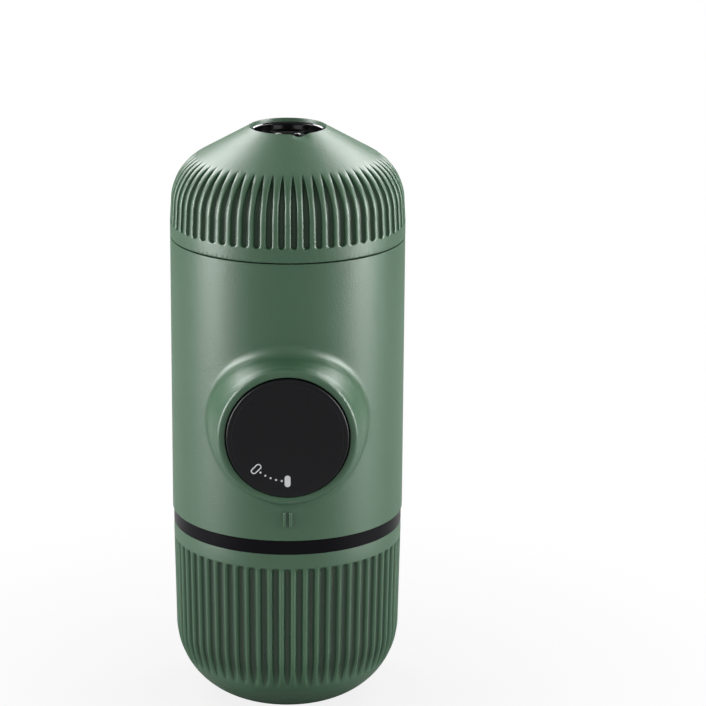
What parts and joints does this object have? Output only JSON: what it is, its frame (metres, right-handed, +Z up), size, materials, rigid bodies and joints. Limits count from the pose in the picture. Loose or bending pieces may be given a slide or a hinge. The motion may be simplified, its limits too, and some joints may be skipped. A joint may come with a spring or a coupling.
{
  "type": "handheld manual espresso maker",
  "caption": "Round handheld espresso maker with a fluted cup, a screw-on water tank, a push-and-turn pump knob, and a fluted portafilter with a central nozzle.",
  "frame": {"origin": "on the maker's own axis, at the flat foot of the cup it stands on", "axes": "+Z up along the maker's axis, from the cup to the portafilter; the pump knob faces -Y"},
  "size_m": [0.062, 0.071, 0.156],
  "materials": {
    "sage_shell": "satin",
    "black_plastic": "satin",
    "gloss_black": "gloss",
    "smoke_plastic": "satin",
    "grey_plastic": "satin",
    "silicone": "matte",
    "black_rubber": "matte",
    "steel": "brushed"
  },
  "bodies": {
    "cup": {"drinking_cup": "sage_shell"},
    "tank": {"water_tank": "smoke_plastic", "tank_collar": "black_plastic", "cup_o_ring": "black_rubber"},
    "tank_gasket": {"tank_seal": "silicone"},
    "machine": {"body_shell": "sage_shell", "tank_socket": "black_plastic", "suction_tube": "black_plastic", "suction_filter": "steel", "vent_valve": "silicone", "pump_frame": "black_plastic", "pump_cylinder": "grey_plastic", "cylinder_seal": "silicone", "valve_manifold": "grey_plastic", "inlet_valve": "silicone", "outlet_valve": "silicone", "guide_sleeve": "black_plastic", "brew_head": "black_plastic", "shower_plate": "steel", "brew_seal": "silicone", "shower_screw": "steel", "frame_screws": "steel", "head_screws": "steel", "manifold_screws": "steel"},
    "piston": {"plunger": "grey_plastic", "piston_seal": "black_rubber", "piston_screw": "steel", "return_spring": "steel"},
    "knob": {"knob_cap": "black_plastic", "knob_sleeve": "black_plastic"},
    "gasket": {"portafilter_gasket": "silicone"},
    "portafilter": {"portafilter_shell": "sage_shell", "portafilter_core": "black_plastic", "outlet_nozzle": "gloss_black", "nozzle_o_ring": "black_rubber"},
    "basket": {"filter_basket": "steel"},
    "scoop": {"coffee_scoop": "black_plastic"}
  },
  "joints": [
    {"name": "cup_release", "type": "slide", "parent": "cup", "child": "tank", "axis": [0, 0, 1], "range_m": [0, 0.05]},
    {"name": "body_lift", "type": "slide", "parent": "tank", "child": "tank_gasket", "axis": [0, 0, 1], "range_m": [0, 0.016]},
    {"name": "body_unscrew", "type": "hinge", "parent": "tank_gasket", "child": "machine", "pos_m": [0, 0, 0.06], "axis": [0, 0, 1], "range_deg": [0, 480]},
    {"name": "piston_stroke", "type": "slide", "parent": "machine", "child": "piston", "axis": [0, -1, 0], "range_m": [0, 0.018], "deforming": ["return_spring"]},
    {"name": "knob_turn", "type": "hinge", "parent": "piston", "child": "knob", "pos_m": [0, -0.038, 0.083], "axis": [0, -1, 0], "range_deg": [0, 45]},
    {"name": "portafilter_lift", "type": "slide", "parent": "machine", "child": "gasket", "axis": [0, 0, 1], "range_m": [0, 0.048]},
    {"name": "portafilter_unscrew", "type": "hinge", "parent": "gasket", "child": "portafilter", "pos_m": [0, 0, 0.127], "axis": [0, 0, 1], "range_deg": [0, 1440]},
    {"name": "basket_lift", "type": "slide", "parent": "machine", "child": "basket", "axis": [0, 0, 1], "range_m": [0, 0.024]},
    {"name": "scoop_lift", "type": "slide", "parent": "machine", "child": "scoop", "axis": [0, 0, 1], "range_m": [0, 0.012]}
  ],
  "couplings": [
    {"joint": "body_unscrew", "follows": "body_lift", "rad_per_m": 523.6},
    {"joint": "portafilter_unscrew", "follows": "portafilter_lift", "rad_per_m": 523.6},
    {"joint": "basket_lift", "follows": "portafilter_lift", "ratio": 0.5},
    {"joint": "scoop_lift", "follows": "portafilter_lift", "ratio": 0.25}
  ]
}
